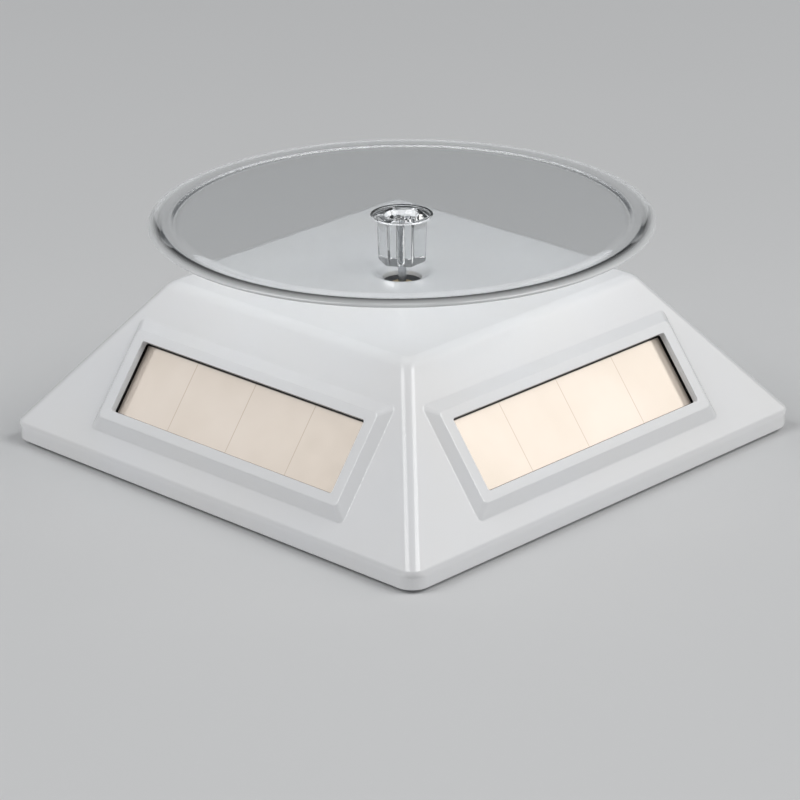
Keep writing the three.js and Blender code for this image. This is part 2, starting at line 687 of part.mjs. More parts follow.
function switchKnob() {
  const x = SWITCH.x - SWITCH.travel / 2;
  const { y } = SWITCH;
  const slider = block([x - 2.4, x + 2.4], [y - 1.5, y + 1.5], [SWITCH_BOTTOM + 0.7, SWITCH_BOTTOM + 2.4]);
  const stem = block([x - 1, x + 1], [y - 0.8, y + 0.8], [BASE.bottom + 0.6, SWITCH_BOTTOM + 1]);
  return joined(slider, stem);
}

function switchBoard() {
  const { x, y } = SWITCH;
  const bottom = SWITCH_BOTTOM + 3;
  const plate = block([x - 3.7, x + 3.7], [y - 1.5, y + 1.5], [bottom, bottom + 1]);
  const pins = [-2.5, 0, 2.5].map((along) => block(
    [x + along - 0.25, x + along + 0.25], [y - 0.4, y + 0.4], [bottom + 0.5, bottom + 3.4]));
  return joined(plate, ...pins);
}

// ---- Circuit board and leads -----------------------------------------------------------

function circuitBoard() {
  const { x, y, size, bottom, thick, peg } = BOARD;
  const plate = roundedBlock(size, 0.6, [bottom, bottom + thick], [x, y], 3);
  const holes = [-1, 1].map((side) => bar(peg + GAP, [bottom - 1, bottom + thick + 1], {
    x: x + side * (size[0] / 2 - 2.2), y, segments: 12,
  }));
  return cut(plate, ...holes);
}

const BOARD_TOP = BOARD.bottom + BOARD.thick;

function blockingDiode() {
  const glass = new THREE.CylinderGeometry(1.1, 1.1, 4.4, 14).rotateZ(Math.PI / 2);
  const wire = new THREE.CylinderGeometry(0.3, 0.3, 9, 8).rotateZ(Math.PI / 2);
  const legs = [-1, 1].map((side) => block([side * 4.4 - 0.3, side * 4.4 + 0.3], [-0.3, 0.3], [-1.4, 0.2]));
  return joined(solid(glass), solid(wire), ...legs);
}

function lead(points) {
  const through = points.map((point) => new THREE.Vector3(...point));
  const curve = new THREE.CatmullRomCurve3(through, false, 'centripetal');
  return swept(curve, LEAD.radius, LEAD.sides, Math.ceil(curve.getLength() / LEAD.step));
}

// Where a cell's lead starts: against the back of the cell, then down it.
function cellStart(side, u) {
  const back = CELL.front - CELL.thick - GAP - LEAD.radius;
  return [[WINDOW.v, back], [WINDOW.v - 4.5, back - 0.2]].map(([v, n]) => facePoint(side, u, v, n).toArray());
}

// Where a lead comes down on to the board, at a place counted from the board's middle.
function boardEnd(x, y) {
  return [4, GAP].map((height) => [BOARD.x + x, BOARD.y + y, BOARD_TOP + height]);
}

const PIN_TOP = SWITCH_BOTTOM + 6.4;

const LEAD_ROUTES = {
  cell_lead_front: [...cellStart(0, 14), [15.5, -41, 7], [19, -36.5, 8], ...boardEnd(-4, -4.5)],
  cell_lead_right: [...cellStart(1, -14), [41, -20, 7.5], [36, -27, 9], ...boardEnd(4, -4.5)],
  cell_lead_back: [...cellStart(2, -28), [37, 41, 8], [41, 30, 7], [41, 12, 7], [39, -8, 7], [35, -17, 9],
    ...boardEnd(8, 4.5)],
  cell_lead_left: [...cellStart(3, 14), [-38, -17, 7], [-22, -21, 6.5], [0, -22, 6.5], [11, -20, 8.5],
    ...boardEnd(-8, 4.5)],
  motor_lead: [[15.8, 0, 25.7], [19.5, 0, 25.7], [23, -3, 22], [25, -12, 14.5], [24.5, -19, 12.5],
    ...boardEnd(0, 4.5)],
  battery_lead_plus: [[TRAY.to + TRAY.wall + GAP + LEAD.radius, BATTERY.y, 16], [31, 24, 12], [36, 10, 11],
    [34, -8, 11], [29.5, -17, 12], ...boardEnd(4, 4.5)],
  battery_lead_minus: [[TRAY.from - TRAY.wall - GAP - LEAD.radius, BATTERY.y, 15], [-35, 22, 11],
    [-37, 6, 10], [-32, -12, 11], [-18, -26, 14], [-6, -32, 17], [-2.5, SWITCH.y, 15.5],
    [-2.5, SWITCH.y, PIN_TOP + GAP]],
  switch_lead: [[SWITCH.x, SWITCH.y, PIN_TOP + GAP], [0.6, SWITCH.y, 15.5], [6, -32, 16.5], [12, -31.5, 14],
    ...boardEnd(-8, -4.5)],
};

// ---- The stand -------------------------------------------------------------------------

const stand = new THREE.Group();

// Adds one named piece. at places it, and laid turns an upright piece along +X.
function add(name, shape, look, { at = [0, 0, 0], laid = false } = {}) {
  const mesh = new THREE.Mesh(geometryOf(shape), new THREE.MeshStandardMaterial(LOOKS[look]));
  mesh.name = name;
  mesh.position.set(...at);
  if (laid) mesh.rotation.y = Math.PI / 2;
  stand.add(mesh);
}

function addHousing() {
  add('shell', shell(), 'white_plastic');
  SIDES.forEach((name, side) => add(`solar_cell_${name}`, solarCell(side), 'solar_glass'));
  add('base_plate', basePlate(), 'white_plastic');
  add('battery_door', batteryDoor(), 'white_plastic');
  cornerPlaces(FOOT.x, FOOT.y)
    .forEach(({ x, y }, i) => add(`foot_${i + 1}`, foot(), 'rubber', { at: [x, y, 0] }));
  const headZ = CORNER_BOSS.shelf - GAP - screwHeadHeight(CORNER_SCREW.head);
  cornerPlaces(CORNER_SCREW.at).forEach(({ x, y }, i) => {
    add(`base_screw_${i + 1}`, panScrew(CORNER_SCREW), 'steel', { at: [x, y, headZ] });
  });
}

function addPlate() {
  add('display_plate', displayPlate(), 'clear_plastic');
  add('hub_socket', hubSocket(), 'clear_plastic');
}

function addMotor() {
  add('motor_case', motorCase(), 'black_plastic');
  add('motor_cover', motorCover(), 'black_plastic');
  add('lower_bush', bush(MOTOR.bottom + MOTOR.wall + GAP, true), 'brass');
  add('upper_bush', bush(MOTOR.coverBottom, false), 'brass');
  add('lower_yoke', lowerYoke(), 'plated');
  add('magnet_ring', magnetRing(), 'ferrite');
  add('upper_yoke', upperYoke(), 'plated');
  add('brush_holder', brushHolder(), 'black_plastic');
  add('brush_left', brush(-1), 'brass');
  add('brush_right', brush(1), 'brass');
  const headZ = MOTOR.coverBottom - GAP - screwHeadHeight(MOTOR_SCREW.head);
  motorMounts().forEach(({ x, y }, i) => {
    add(`motor_screw_${i + 1}`, panScrew(MOTOR_SCREW), 'steel', { at: [x, y, headZ] });
  });
}

function addRotor() {
  add('motor_shaft', motorShaft(), 'steel');
  add('rotor_disc', rotorDisc(), 'black_plastic');
  [0, 1, 2].forEach((number) => add(`rotor_coil_${number + 1}`, rotorCoil(number), 'copper'));
  add('commutator', commutator(), 'brass');
}

function addElectrics() {
  add('battery', battery(), 'battery', { at: [BATTERY.from, BATTERY.y, BATTERY.z], laid: true });
  add('battery_spring', batterySpring(), 'plated', { at: [SPRING_X, BATTERY.y, BATTERY.z], laid: true });
  add('negative_contact', contactPlate(MINUS_X, 0), 'plated');
  add('positive_contact', contactPlate(PLUS_X, CONTACT.pip), 'plated');
  add('switch_housing', switchHousing(), 'plated');
  add('switch_knob', switchKnob(), 'black_plastic');
  add('switch_board', switchBoard(), 'board');
  add('circuit_board', circuitBoard(), 'board');
  add('blocking_diode', blockingDiode(), 'black_plastic', { at: [BOARD.x, BOARD.y - 1, BOARD_TOP + 1.8] });
  Object.entries(LEAD_ROUTES).forEach(([name, route]) => add(name, lead(route), 'lead'));
}

addHousing();
addPlate();
addMotor();
addRotor();
addElectrics();

export default stand;
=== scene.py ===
"""Turntable display stand: the looks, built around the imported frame.

Shapes are worked out in millimetres in the stand's own frame (+Z up, the origin on the table under
the middle of the base) and turned into metres when a mesh is made. The four sides are named as seen
from above: front -Y, right +X, back +Y, left -X.
"""

import math

import bmesh
import bpy
from mathutils import Matrix, Vector


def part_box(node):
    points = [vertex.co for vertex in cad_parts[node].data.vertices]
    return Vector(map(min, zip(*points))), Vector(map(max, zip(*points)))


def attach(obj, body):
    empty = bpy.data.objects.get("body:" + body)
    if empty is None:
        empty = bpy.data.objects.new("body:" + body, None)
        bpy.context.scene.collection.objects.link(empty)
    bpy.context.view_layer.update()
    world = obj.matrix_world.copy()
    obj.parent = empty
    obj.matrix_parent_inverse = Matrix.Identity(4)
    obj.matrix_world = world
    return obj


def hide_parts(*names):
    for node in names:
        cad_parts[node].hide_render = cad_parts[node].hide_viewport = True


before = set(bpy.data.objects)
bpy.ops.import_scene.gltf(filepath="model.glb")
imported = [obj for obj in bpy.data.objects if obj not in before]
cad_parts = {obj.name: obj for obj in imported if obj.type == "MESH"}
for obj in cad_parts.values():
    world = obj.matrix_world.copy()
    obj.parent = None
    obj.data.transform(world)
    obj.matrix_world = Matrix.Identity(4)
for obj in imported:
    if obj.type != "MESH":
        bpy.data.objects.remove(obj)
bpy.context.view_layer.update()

MM = 0.001
SIDES = ("front", "right", "back", "left")


def box_mm(node):
    """Lowest and highest corner of a CAD node, in millimetres."""
    low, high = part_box(node)
    return low / MM, high / MM


def middle(low, high):
    """The plan position halfway between two corners."""
    return (low.x + high.x) / 2, (low.y + high.y) / 2


# ---- Driving dimensions, in millimetres ------------------------------------------------

shell_low, shell_high = box_mm("shell")
plate_low, plate_high = box_mm("display_plate")
hub_low, hub_high = box_mm("hub_socket")

SHELL = {
    "half": shell_high.x,
    "bottom": shell_low.z,
    "deck": shell_high.z,
    "skirt_top": 4.0,             # where the upright skirt would meet the face, unrounded
    "deck_half": 32.6,            # half the side of the flat top, unrounded
    "wall": 2.0,
    "skirt_corner": 3.8,          # plan radius of the skirt's corners
    "ridge_corner": 2.0,          # plan radius of the ridges between faces
    "inner_corner": 1.5,          # the same inside, behind the faces
    "inner_skirt_corner": 2.3,    # and inside the skirt
    "skirt_round": 2.5,
    "deck_round": 3.2,
    "edge": 0.35,                 # rounding of the lower edge
    "hole_radius": 3.8,
    "dish_radius": 5.65,
    "dish_depth": 1.1,
}
WINDOW = {                        # on a face: u across, v up the slope, n outwards
    "v": 16.4,
    "frame": (69.0, 23.8),
    "frame_top": (65.2, 18.9),
    "rise": 1.5,
    "opening": (60.4, 14.9),
    "corner": 1.0,
    "pocket": 0.1,                # n of the floor of the pocket behind, that the cell sits in
    "room": (64.8, 18.9),         # the pocket
}
CELL = {"size": (64.2, 18.3), "thick": 1.1, "front": -0.6}
PLATE = {
    "top": plate_high.z,
    "radius": plate_high.x,
    "flat_radius": 47.4,
    "lip": 45.4,                  # height where the rounded rim is widest
    "thick": 1.5,
    "bead": (45.4, 46.4),         # the flat of the bead under the rim, inner and outer radius
    "bead_low": plate_low.z,
    "bead_root": 43.9,            # where the bead runs out into the plate
    "bore_radius": 5.5,
    "seat_radius": 6.05,
    "seat_depth": 0.9,
}
HUB = {
    "top": hub_high.z,
    "bottom": hub_low.z,
    "flange_radius": 5.75,
    "flange": 0.6,
    "top_corner": 5.2,
    "bottom_corner": 4.8,
    "edge": 0.35,                 # rounding along the six upright edges
    "turn": 34.0,                 # degrees, how the six-sided post is turned at rest
    "dish_radius": 3.4,
    "dish_depth": 1.0,
    "bore": 0.86,
    "bore_top": 44.0,
}
DOOR = {
    "edge": 0.25,                 # chamfer round the lower and upper face
    "tongue": 1.0,                # how far a tongue stands out on each side
    "tongue_thick": 0.6,
    "tongue_inset": 4.0,          # from each end of the door
    "grips": 5,
    "grip_start": 6.0,            # from the +X end to the first grip
    "grip_step": 1.8,
    "grip_half": 5.0,             # half a grip's length
    "grip_wide": 1.0,
    "grip_slope": 0.25,           # run of a grip's sloping sides
    "grip_deep": 0.4,
}
SCREW = {
    "head": 2.5,                  # radius
    "head_tall": 1.375,
    "shank": 1.2,                 # radius over the ridges
    "root": 0.96,                 # radius between them
    "pitch": 0.8,
    "point": 0.08,
    "recess_mouth": (1.3, 0.5),   # the cross: length of an arm and its width
    "recess_floor": (0.75, 0.3),
    "recess_deep": 0.75625,
}

RUN = SHELL["half"] - SHELL["deck_half"]
RISE = SHELL["deck"] - SHELL["skirt_top"]
SLOPE = math.atan2(RISE, RUN)

# How finely the shell is cut: segments along a side, round a plan corner, up a ridge, and round
# half a corner of a window.
ALONG, CORNER, UP, WINDOW_CORNER = 24, 8, 12, 3


# ---- Skins: closed surfaces made of loops ------------------------------------------------

class Skin:
    """The points (in millimetres) and faces of one surface."""

    def __init__(self):
        self.points = []
        self.faces = []

    def loop(self, points):
        """Adds points and returns their numbers."""
        start = len(self.points)
        self.points.extend(Vector(point) for point in points)
        return list(range(start, len(self.points)))

    def bridge(self, low, high, closed=True):
        """Joins two rows of equal length with quads. They face outwards when a closed row runs
        counter-clockwise seen from the outside end and high is the row nearer to the viewer."""
        count = len(low) if closed else len(low) - 1
        for i in range(count):
            j = (i + 1) % len(low)
            self.faces.append((low[i], low[j], high[j], high[i]))

    def chain(self, loops):
        """Adds a row of loops, each joined to the one before."""
        rows = [self.loop(points) for points in loops]
        for low, high in zip(rows, rows[1:]):
            self.bridge(low, high)
        return rows

    def tube(self, loops, ring=False):
        """Joins a row of loops, closed by a flat cap at each end or bent round on itself."""
        rows = self.chain(loops)
        if ring:
            self.bridge(rows[-1], rows[0])
        else:
            self.faces.append(tuple(reversed(rows[0])))
            self.faces.append(tuple(rows[-1]))

    def piece(self, name, crease=35):
        """The surface as a Blender object in metres, smooth except at creases sharper than this."""
        mesh = bpy.data.meshes.new(name)
        mesh.from_pydata([point * MM for point in self.points], [], self.faces)
        tidy = bmesh.new()
        tidy.from_mesh(mesh)
        bmesh.ops.recalc_face_normals(tidy, faces=tidy.faces)
        tidy.to_mesh(mesh)
        tidy.free()
        mesh.shade_smooth()
        mesh.set_sharp_from_angle(angle=math.radians(crease))
        made = bpy.data.objects.new(name, mesh)
        bpy.context.scene.collection.objects.link(made)
        flats = made.modifiers.new("flat_faces_stay_flat", "WEIGHTED_NORMAL")
        flats.keep_sharp = True
        return made


def step_towards(start, end, far):
    """The point that is `far` along the way from start to end. Vector.normalized() leaves out the
    fourth value, so the length is worked out here."""
    way = end - start
    length = math.sqrt(way.dot(way))
    return start + way * (far / length) if length else start


def soften(path, reaches, steps=4):
    """A path of vectors with its inner corners rounded. Each reach is how far from its corner a
    rounding starts, and 0 leaves the corner sharp."""
    made = [path[0]]
    for before, corner, after, far in zip(path, path[1:], path[2:], reaches):
        if far == 0:
            made.append(corner)
            continue
        start = step_towards(corner, before, far)
        end = step_towards(corner, after, far)
        for i in range(steps + 1):
            t = i / steps
            made.append(start * (1 - t) ** 2 + corner * 2 * t * (1 - t) + end * t ** 2)
    made.append(path[-1])
    return made


def circle(radius, z, count, centre=(0, 0), turn=0.0):
    angles = [turn + 2 * math.pi * i / count for i in range(count)]
    return [(centre[0] + radius * math.cos(a), centre[1] + radius * math.sin(a), z) for a in angles]


def turned(name, profile, count=64, centre=(0, 0), crease=35):
    """A turned piece. A profile of (radius, height) that starts and ends on the axis is capped
    there, and any other is a ring."""
    on_axis = profile[0][0] < 1e-6 and profile[-1][0] < 1e-6
    rows = profile[1:-1] if on_axis else profile
    skin = Skin()
    skin.tube([circle(r, z, count, centre) for r, z in rows], ring=not on_axis)
    return skin.piece(name, crease)


# ---- Shell ---------------------------------------------------------------------------------

def turn_side(side, point):
    """A point of the front side, turned to another side."""
    return Matrix.Rotation(side * math.pi / 2, 3, "Z") @ Vector(point)


def on_face(side, u, v, n):
    """A point of a sloping face: u across, v up the slope, n outwards."""
    y = -SHELL["half"] + v * math.cos(SLOPE) - n * math.sin(SLOPE)
    z = SHELL["skirt_top"] + v * math.sin(SLOPE) + n * math.cos(SLOPE)
    return turn_side(side, (u, y, z))


def square_ring(half, z, corner):
    """A rounded square: ALONG segments on each side, CORNER round each corner."""
    points = []
    flat = half - corner
    for side in range(4):
        for i in range(ALONG + 1):
            points.append(turn_side(side, (flat * (2 * i / ALONG - 1), -half, z)))
        for i in range(1, CORNER):
            angle = math.pi / 2 * i / CORNER
            x, y = flat + corner * math.sin(angle), -flat - corner * math.cos(angle)
            points.append(turn_side(side, (x, y, z)))
    return points


def window_loop(side, size, corner, n):
    """A rounded rectangle round the window of a face, with as many points as the face's flat."""
    points = []
    for edge, count in enumerate((ALONG, UP, ALONG, UP)):
        half_long, half_deep = size[edge % 2] / 2, size[1 - edge % 2] / 2
        straight = half_long - corner
        for i in range(count):
            angle = 0.0
            along = straight * (2 * (i - WINDOW_CORNER) / (count - 2 * WINDOW_CORNER) - 1)
            if i < WINDOW_CORNER:
                angle = math.pi / 4 * (i / WINDOW_CORNER - 1)
                along = -straight
            elif i > count - WINDOW_CORNER:
                angle = math.pi / 4 * (i - count + WINDOW_CORNER) / WINDOW_CORNER
                along = straight
            along += corner * math.sin(angle)
            away = half_deep - corner + corner * math.cos(angle)
            turn = edge * math.pi / 2
            u = along * math.cos(turn) + away * math.sin(turn)
            v = along * math.sin(turn) - away * math.cos(turn)
            points.append(on_face(side, u, WINDOW["v"] + v, n))
    return points


def face_band(skin, low, high, ridge, windows):
    """The four faces and the ridges between two square rings. ridge gives half width, height and
    corner at each level between them, and windows the rows round each face's opening."""
    step = ALONG + CORNER
    strips = []
    for side in range(4):
        start = side * step + ALONG
        ends = [[ring[(start + i) % len(ring)] for i in range(CORNER + 1)] for ring in (low, high)]
        between = []
        for half, z, corner in ridge:
            points = square_ring(half, z, corner)
            between.append(skin.loop(points[(start + i) % len(points)] for i in range(CORNER + 1)))
        strip = [ends[0], *between, ends[1]]
        for lower, upper in zip(strip, strip[1:]):
            skin.bridge(lower, upper, closed=False)
        strips.append(strip)
    for side in range(4):
        bottom = [low[side * step + i] for i in range(ALONG + 1)]
        top = [high[side * step + i] for i in reversed(range(ALONG + 1))]
        right = [row[0] for row in strips[side][1:-1]]
        left = [row[-1] for row in reversed(strips[side - 1][1:-1])]
        skin.bridge(bottom + right + top + left, windows[side])


def levels(low, high):
    """The rows of a ridge strictly between two (half width, height, corner) levels."""
    return [Vector(low).lerp(Vector(high), i / UP) for i in range(1, UP)]


def skirt_rows():
    """Half width, height and plan corner from the lower edge up to where the faces start."""
    half, bottom, edge, wall = (SHELL[key] for key in ("half", "bottom", "edge", "wall"))
    corner, bend = SHELL["skirt_corner"], math.pi / 2 - SLOPE
    low = SHELL["skirt_top"] - SHELL["skirt_round"] * math.tan(bend / 2)
    rows = soften([Vector(row) for row in (
        (half - wall, bottom + wall, SHELL["inner_skirt_corner"]),
        (half - wall, bottom, SHELL["inner_skirt_corner"]),
        (half, bottom, corner),
        (half, low, corner),
    )], [edge / 2, edge])
    rows.pop()
    steps = 10
    for i in range(steps + 1):
        angle = bend * i / steps
        plan = corner + (SHELL["ridge_corner"] - corner) * i / steps
        rows.append(Vector((half - SHELL["skirt_round"] * (1 - math.cos(angle)),
                            low + SHELL["skirt_round"] * math.sin(angle), plan)))
    return rows


def deck_rows():
    """The same from the top of the faces over the rounded edge on to the flat top."""
    inset = SHELL["deck_half"] - SHELL["deck_round"] * math.tan(SLOPE / 2)
    rows = []
    steps = 14
    for i in range(steps, -1, -1):
        angle = SLOPE * i / steps
        rows.append(Vector((inset + SHELL["deck_round"] * math.sin(angle),
                            SHELL["deck"] - SHELL["deck_round"] * (1 - math.cos(angle)),
                            SHELL["ridge_corner"])))
    return rows


def window_rows():
    """Width, height, corner and n from the foot of a window's frame to the inside of the wall."""
    spread = 1.2
    path = [Vector(row) for row in (
        (WINDOW["frame"][0] + spread, WINDOW["frame"][1] + spread, WINDOW["corner"] + spread / 2, 0),
        (*WINDOW["frame"], WINDOW["corner"], 0),
        (*WINDOW["frame_top"], WINDOW["corner"], WINDOW["rise"]),
        (*WINDOW["opening"], WINDOW["corner"] / 2, WINDOW["rise"]),
        (*WINDOW["opening"], WINDOW["corner"] / 2, WINDOW["pocket"]),
        (*WINDOW["room"], WINDOW["corner"] / 2, WINDOW["pocket"]),
        (*WINDOW["room"], WINDOW["corner"] / 2, -SHELL["wall"]),
    )]
    return soften(path, [0.5, 0.45, 0.2, 0.1, 0])


def centre_rows(ring):
    """From the flat top down through the dished hole to the ceiling: loops that follow a ring."""
    deck, ceiling = SHELL["deck"], SHELL["deck"] - SHELL["wall"]
    angles = [math.atan2(point[1], point[0]) for point in ring]
    path = [Vector(row) for row in (
        (SHELL["dish_radius"] + 1.6, deck),
        (SHELL["dish_radius"], deck),
        (SHELL["hole_radius"], deck - SHELL["dish_depth"]),
        (SHELL["hole_radius"], ceiling),
    )]
    rows = soften(path, [0.9, 0.25], 6)
    return [[(r * math.cos(a), r * math.sin(a), z) for a in angles] for r, z in rows]


def inner_rows():
    """The two ends of the faces' inside, where it meets the skirt and where it meets the ceiling."""
    sloped_wall = SHELL["wall"] / math.sin(SLOPE)
    ceiling = SHELL["deck"] - SHELL["wall"]
    skirt_half = SHELL["half"] - SHELL["wall"]
    bend = SHELL["skirt_top"] - (skirt_half - SHELL["half"] + sloped_wall) * RISE / RUN
    top_half = SHELL["half"] - sloped_wall - (ceiling - SHELL["skirt_top"]) * RUN / RISE
    return (skirt_half, bend, SHELL["inner_corner"]), (top_half, ceiling, SHELL["inner_corner"])


def make_shell():
    skin = Skin()
    skirt, deck = skirt_rows(), deck_rows()
    sides = skin.chain(square_ring(*row) for row in skirt)
    tops = skin.chain(square_ring(*row) for row in deck)
    windows = []
    for side in range(4):
        rows = [((wide, deep), corner, n) for wide, deep, corner, n in window_rows()]
        windows.append(skin.chain(window_loop(side, *row) for row in rows))
    face_band(skin, sides[-1], tops[0], levels(skirt[-1], deck[0]), [rows[0] for rows in windows])

    centre = skin.chain(centre_rows(square_ring(*deck[-1])))
    skin.bridge(tops[-1], centre[0])

    low_row, high_row = inner_rows()
    low, high = skin.loop(square_ring(*low_row)), skin.loop(square_ring(*high_row))
    face_band(skin, low, high, levels(low_row, high_row), [rows[-1] for rows in windows])
    skin.bridge(low, sides[0])
    skin.bridge(high, centre[-1])
    return skin.piece("shell_cover", crease=40)


# ---- Clear plate and hub ---------------------------------------------------------------------

def make_plate():
    top, under = PLATE["top"], PLATE["top"] - PLATE["thick"]
    radius, lip, flat = PLATE["radius"], PLATE["lip"], PLATE["flat_radius"]
    outer = [Vector((flat + (radius - flat) * math.sin(a), lip + (top - lip) * math.cos(a)))
             for a in (math.pi / 2 * i / 16 for i in range(17))]
    inner = soften([Vector(row) for row in (
        outer[-1],
        (radius - 0.3, lip - 0.3),
        (PLATE["bead"][1], PLATE["bead_low"]),
        (PLATE["bead"][0], PLATE["bead_low"]),
        (PLATE["bead_root"], under),
        (PLATE["bore_radius"], under),
        (PLATE["bore_radius"], top - PLATE["seat_depth"]),
        (PLATE["seat_radius"], top - PLATE["seat_depth"]),
        (PLATE["seat_radius"], top),
        outer[0],
    )], [0.2, 0.45, 0.45, 0.7, 0.12, 0.1, 0.06, 0.1])
    return turned("clear_plate", [*outer, *inner[1:-1]], count=192, crease=50)


def six_sided(radius, z, count_each=16):
    """A hexagon with rounded corners, as many points as a circle of 6 * count_each."""
    points = []
    apothem = radius * math.cos(math.pi / 6)
    rounding = HUB["edge"]
    for i in range(6 * count_each):
        angle = 2 * math.pi * i / (6 * count_each)
        off = (angle + math.pi / 6) % (math.pi / 3) - math.pi / 6
        flat = apothem / math.cos(off)
        reach = math.pi / 6 - abs(off)
        soft = math.atan(rounding / apothem)
        if reach < soft:
            flat -= rounding * 0.35 * (1 - reach / soft) ** 2
        turn = angle + math.radians(HUB["turn"])
        points.append((flat * math.cos(turn), flat * math.sin(turn), z))
    return points


def make_hub():
    count = 96
    turn = math.radians(HUB["turn"])
    top, under = HUB["top"], HUB["top"] - HUB["flange"]
    spread = (HUB["top_corner"] - HUB["bottom_corner"]) / (top - HUB["bottom"])

    def ring(radius, z):
        return circle(radius, z, count, turn=turn)

    def post(z, inset=0.0):
        return six_sided(HUB["bottom_corner"] + spread * (z - HUB["bottom"]) - inset, z)

    dish, flange, bore = HUB["dish_radius"], HUB["flange_radius"], HUB["bore"]
    bottom, dish_floor = HUB["bottom"], top - HUB["dish_depth"]
    skin = Skin()
    skin.tube([
        ring(0.4, dish_floor), ring(dish - 0.5, dish_floor), ring(dish - 0.3, dish_floor + 0.12),
        ring(dish - 0.08, top - 0.1), ring(dish + 0.06, top),
        ring(flange - 0.15, top), ring(flange - 0.04, top - 0.05), ring(flange, top - 0.16),
        ring(flange, under + 0.1), ring(flange - 0.1, under),
        post(under, -0.1), post(under - 0.12),
        post(bottom + 0.3), post(bottom + 0.08, 0.08), post(bottom, 0.3),
        ring(bore + 0.15, bottom), ring(bore, bottom + 0.15),
        ring(bore, HUB["bore_top"] - 0.1), ring(bore - 0.1, HUB["bore_top"]),
    ])
    return skin.piece("clear_hub", crease=45)


# ---- Solar cells ------------------------------------------------------------------------------

def make_cell(side):
    front, back = CELL["front"], CELL["front"] - CELL["thick"]
    chamfer = 0.25
    rows = [(0, back), (0, front - chamfer), (chamfer, front)]
    loops = []
    for inset, n in rows:
        size = tuple(length - 2 * inset for length in CELL["size"])
        loops.append(window_loop(side, size, 0.4, n))
    skin = Skin()
    skin.tube(loops)
    return skin.piece(f"solar_panel_{SIDES[side]}", crease=25)


# ---- Small pieces ----------------------------------------------------------------------------

def block_loop(size, corner, centre, z):
    """A level rounded rectangle, counter-clockwise seen from above."""
    points, steps = [], 5
    for quarter, (sx, sy) in enumerate([(1, 1), (-1, 1), (-1, -1), (1, -1)]):
        for i in range(steps + 1):
            angle = (quarter + i / steps) * math.pi / 2
            points.append((centre[0] + sx * (size[0] / 2 - corner) + corner * math.cos(angle),
                           centre[1] + sy * (size[1] / 2 - corner) + corner * math.sin(angle), z))
    return points


def cross_loop(arm, width, centre, z, count):
    """A cross of four arms, sampled at even angles."""
    points = []
    for i in range(count):
        angle = 2 * math.pi * i / count
        across, along = sorted((abs(math.cos(angle)), abs(math.sin(angle))))
        radius = min(arm / along, width / 2 / max(across, 1e-6))
        points.append((centre[0] + radius * math.cos(angle), centre[1] + radius * math.sin(angle), z))
    return points


def make_screw(node):
    """A pan-head screw with a rounded head, a tapered cross recess and plain ridges for a thread."""
    low, high = box_mm(node)
    centre, count = middle(low, high), 64
    tall, shank, pitch = SCREW["head_tall"], SCREW["shank"], SCREW["pitch"]
    loops = [cross_loop(*SCREW["recess_floor"], centre, low.z + SCREW["recess_deep"], count),
             cross_loop(*SCREW["recess_mouth"], centre, low.z, count)]
    dome = [(0.55, 0), (0.8, 0.06), (0.94, 0.3), (1.0, 0.62), (1.0, 0.95), (0.97, 1.0)]
    loops += [circle(SCREW["head"] * r, low.z + tall * z, count, centre) for r, z in dome]
    z = low.z + tall
    loops.append(circle(SCREW["root"], z, count, centre))
    ridge = [(SCREW["root"], 0.3), (shank, 0.5), (SCREW["root"], 0.7)]
    while z + pitch < high.z - shank:
        loops += [circle(r, z + pitch * t, count, centre) for r, t in ridge]
        z += pitch
    loops.append(circle(SCREW["point"], high.z, count, centre))
    skin = Skin()
    skin.tube(loops)
    return skin.piece(f"{node}_turned", crease=40)


def make_foot(node):
    """A rubber foot with a dimple in its lower face."""
    low, high = box_mm(node)
    radius, top, dimple = (high.x - low.x) / 2, high.z, 0.2
    profile = [(0, dimple), (radius * 0.5, dimple), (radius * 0.56, 0), (radius - 0.5, 0),
               (radius - 0.15, 0.15), (radius, 0.5), (radius, top - 0.2), (radius - 0.2, top), (0, top)]
    return turned(f"{node}_moulded", profile, 64, middle(low, high))


def make_shaft():
    low, high = box_mm("motor_shaft")
    radius = high.x
    rows = [(0, low.z), (0.15, low.z), (radius, low.z + 0.6), (radius, high.z - 0.3),
            (radius - 0.1, high.z - 0.1), (radius - 0.3, high.z), (0, high.z)]
    return turned("steel_shaft", rows, 48)


def grip_depth(x, y, grips):
    """How far the finger grips cut into the door, y from the middle of the door."""
    across = DOOR["grip_wide"] / 2 - min(abs(x - grip) for grip in grips)
    along = DOOR["grip_half"] - abs(y)
    return DOOR["grip_deep"] * min(1, max(0, across / DOOR["grip_slope"]), max(0, along / DOOR["grip_slope"]))


def door_face(skin, low, high, centre):
    """The door's lower face with its grips, as a grid. Returns the numbers of its rim."""
    half, wide, slope = DOOR["grip_half"], DOOR["grip_wide"] / 2, DOOR["grip_slope"]
    grips = [high.x + DOOR["edge"] - DOOR["grip_start"] - row * DOOR["grip_step"]
             for row in range(DOOR["grips"])]
    sides = (-wide, slope - wide, wide - slope, wide)
    xs = sorted({low.x, high.x, *(grip + side for grip in grips for side in sides)})
    ys = [low.y, *(centre[1] + y for y in (-half, slope - half, half - slope, half)), high.y]
    rows = [skin.loop((x, y, low.z + grip_depth(x, y - centre[1], grips)) for x in xs) for y in ys]
    for front, back in zip(rows, rows[1:]):
        skin.bridge(front, back, closed=False)
    right, left = [row[-1] for row in rows[:-1]], [row[0] for row in rows[:0:-1]]
    return rows[0][:-1] + right + rows[-1][:0:-1] + left


